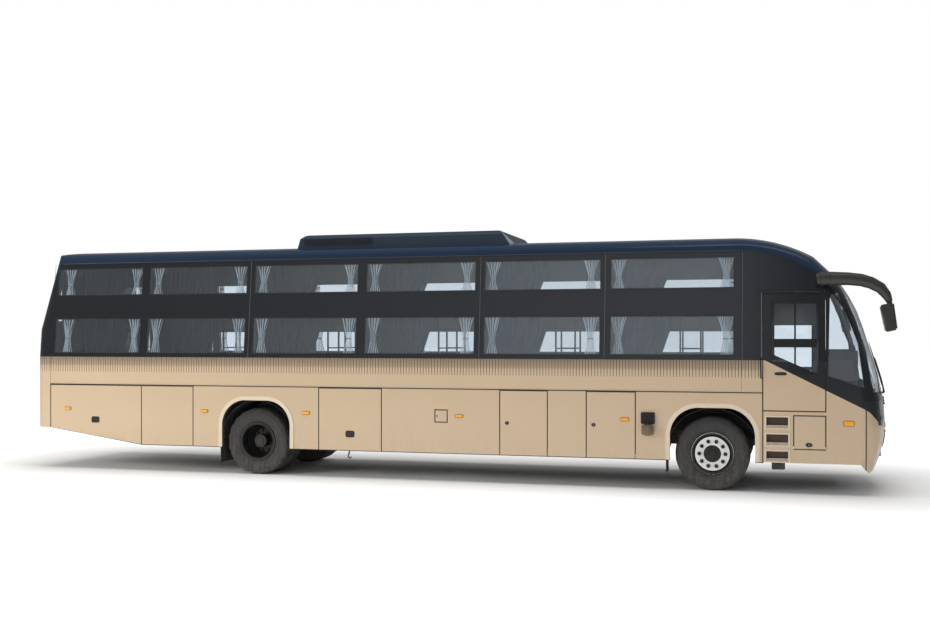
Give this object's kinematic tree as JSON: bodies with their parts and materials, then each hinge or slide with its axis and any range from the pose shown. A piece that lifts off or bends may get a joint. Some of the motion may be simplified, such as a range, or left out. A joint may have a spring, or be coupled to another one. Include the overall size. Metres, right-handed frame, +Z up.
{
  "type": "sleeper coach bus",
  "caption": "Long two-axle sleeper coach with two rows of side windows, roof air unit, opening cab doors, luggage flaps and steered front wheels.",
  "frame": {"origin": "on the ground under the middle of the coach", "axes": "+X forward along the coach, +Y to its left, +Z up"},
  "size_m": [13.56, 2.85, 3.7998],
  "materials": {
    "body_paint": "satin metallic",
    "cap_paint": "gloss",
    "lip_paint": "satin",
    "chassis_paint": "matt",
    "floor_board": "matt",
    "cast_iron": "matt",
    "spring_steel": "matt",
    "tyre_rubber": "matt",
    "flap_rubber": "matt",
    "rim_paint": "satin",
    "clear_glass": "gloss",
    "lamp_glass": "gloss",
    "black_plastic": "satin",
    "grey_plastic": "matt",
    "tank_metal": "satin",
    "board": "satin",
    "cushion": "soft",
    "lace": "soft",
    "unit_paint": "satin",
    "canister": "satin"
  },
  "bodies": {
    "coach": {"ac_unit": "unit_paint", "air_intake": "canister", "arch_trims": "lip_paint", "berths": "board", "cab_floor": "chassis_paint", "cab_partition": "board", "chassis_frame": "chassis_paint", "curtains": "lace", "dashboard": "grey_plastic", "driver_seat": "cushion", "driver_steps": "black_plastic", "exhaust": "chassis_paint", "fixed_glass": "clear_glass", "floor": "floor_board", "front_axle": "cast_iron", "front_cap": "cap_paint", "front_mask": "body_paint", "ladders": "spring_steel", "lamps": "lamp_glass", "leaf_springs": "spring_steel", "luggage_bins": "tank_metal", "mattresses": "cushion", "mirrors": "black_plastic", "powertrain": "cast_iron", "rear_axle": "cast_iron", "rear_bumper": "body_paint", "rear_wall": "body_paint", "roof": "cap_paint", "side_wall_left": "body_paint", "side_wall_right": "body_paint", "tanks": "tank_metal", "wheel_housings": "flap_rubber", "wipers": "black_plastic"},
    "steer_right": {"knuckle_right": "cast_iron"},
    "steer_left": {"knuckle_left": "cast_iron"},
    "tie_rod": {"tie_rod": "cast_iron"},
    "front_wheel_right": {"front_rim_right": "rim_paint", "front_tyre_right": "tyre_rubber"},
    "front_wheel_left": {"front_rim_left": "rim_paint", "front_tyre_left": "tyre_rubber"},
    "rear_wheels_right": {"rear_rims_right": "rim_paint", "rear_tyres_right": "tyre_rubber"},
    "rear_wheels_left": {"rear_rims_left": "rim_paint", "rear_tyres_left": "tyre_rubber"},
    "driver_door": {"driver_door": "cap_paint", "driver_door_glass": "clear_glass"},
    "entry_door": {"entry_door": "cap_paint", "entry_door_glass": "clear_glass"},
    "boot_lid": {"boot_lid": "body_paint"},
    "bay_aft_right": {"bay_aft_right": "body_paint"},
    "bay_fore_right": {"bay_fore_right": "body_paint"},
    "flap_mid_left": {"flap_mid_left": "body_paint"},
    "flap_mid_right": {"flap_mid_right": "body_paint"},
    "flap_rear_left": {"flap_rear_left": "body_paint"},
    "flap_rear_right": {"flap_rear_right": "body_paint"},
    "fuel_right": {"fuel_right": "body_paint"},
    "locker_right": {"locker_right": "body_paint"}
  },
  "joints": [
    {"name": "steer_right", "type": "hinge", "parent": "coach", "child": "steer_right", "pos_m": [4.34, -0.93, 0.522], "axis": [0, 0, 1], "range_deg": [-38, 38]},
    {"name": "steer_left", "type": "hinge", "parent": "coach", "child": "steer_left", "pos_m": [4.34, 0.93, 0.522], "axis": [0, 0, 1], "range_deg": [-38, 38]},
    {"name": "tie_rod", "type": "hinge", "parent": "steer_right", "child": "tie_rod", "pos_m": [4.17, -0.93, 0.395], "axis": [0, 0, 1], "range_deg": [-38, 38]},
    {"name": "front_wheel_right", "type": "hinge", "parent": "steer_right", "child": "front_wheel_right", "pos_m": [4.34, -1.06, 0.522], "axis": [0, 1, 0], "continuous": true},
    {"name": "front_wheel_left", "type": "hinge", "parent": "steer_left", "child": "front_wheel_left", "pos_m": [4.34, 1.06, 0.522], "axis": [0, 1, 0], "continuous": true},
    {"name": "rear_wheels_right", "type": "hinge", "parent": "coach", "child": "rear_wheels_right", "pos_m": [-2.71, -0.92, 0.522], "axis": [0, 1, 0], "continuous": true},
    {"name": "rear_wheels_left", "type": "hinge", "parent": "coach", "child": "rear_wheels_left", "pos_m": [-2.71, 0.92, 0.522], "axis": [0, 1, 0], "continuous": true},
    {"name": "driver_door", "type": "hinge", "parent": "coach", "child": "driver_door", "pos_m": [5.863, -1.2703, 1.9], "axis": [0, 0, 1], "range_deg": [0, 75]},
    {"name": "entry_door", "type": "hinge", "parent": "coach", "child": "entry_door", "pos_m": [5.863, 1.2703, 1.6], "axis": [0, 0, -1], "range_deg": [0, 80]},
    {"name": "boot_lid", "type": "hinge", "parent": "coach", "child": "boot_lid", "pos_m": [-6.7753, 0, 1.894], "axis": [0, 1, 0], "range_deg": [0, 95]},
    {"name": "bay_aft_right", "type": "hinge", "parent": "coach", "child": "bay_aft_right", "pos_m": [1.976, -1.2703, 0.9], "axis": [0, 0, 1], "range_deg": [0, 95]},
    {"name": "bay_fore_right", "type": "hinge", "parent": "coach", "child": "bay_fore_right", "pos_m": [3.261, -1.2703, 0.9], "axis": [0, 0, 1], "range_deg": [0, 95]},
    {"name": "flap_mid_left", "type": "hinge", "parent": "coach", "child": "flap_mid_left", "pos_m": [-1.121, 1.2703, 1.381], "axis": [1, 0, 0], "range_deg": [0, 95]},
    {"name": "flap_mid_right", "type": "hinge", "parent": "coach", "child": "flap_mid_right", "pos_m": [-1.121, -1.2703, 1.381], "axis": [-1, 0, 0], "range_deg": [0, 95]},
    {"name": "flap_rear_left", "type": "hinge", "parent": "coach", "child": "flap_rear_left", "pos_m": [-5.6, 1.2703, 1.381], "axis": [1, 0, 0], "range_deg": [0, 95]},
    {"name": "flap_rear_right", "type": "hinge", "parent": "coach", "child": "flap_rear_right", "pos_m": [-5.6, -1.2703, 1.381], "axis": [-1, 0, 0], "range_deg": [0, 95]},
    {"name": "fuel_right", "type": "hinge", "parent": "coach", "child": "fuel_right", "pos_m": [0.444, -1.2703, 0.985], "axis": [0, 0, 1], "range_deg": [0, 95]},
    {"name": "locker_right", "type": "hinge", "parent": "coach", "child": "locker_right", "pos_m": [5.655, -1.2703, 1.083], "axis": [-1, 0, 0], "range_deg": [0, 80]}
  ],
  "couplings": [
    {"joint": "steer_left", "follows": "steer_right", "ratio": 1},
    {"joint": "tie_rod", "follows": "steer_right", "ratio": -1}
  ]
}
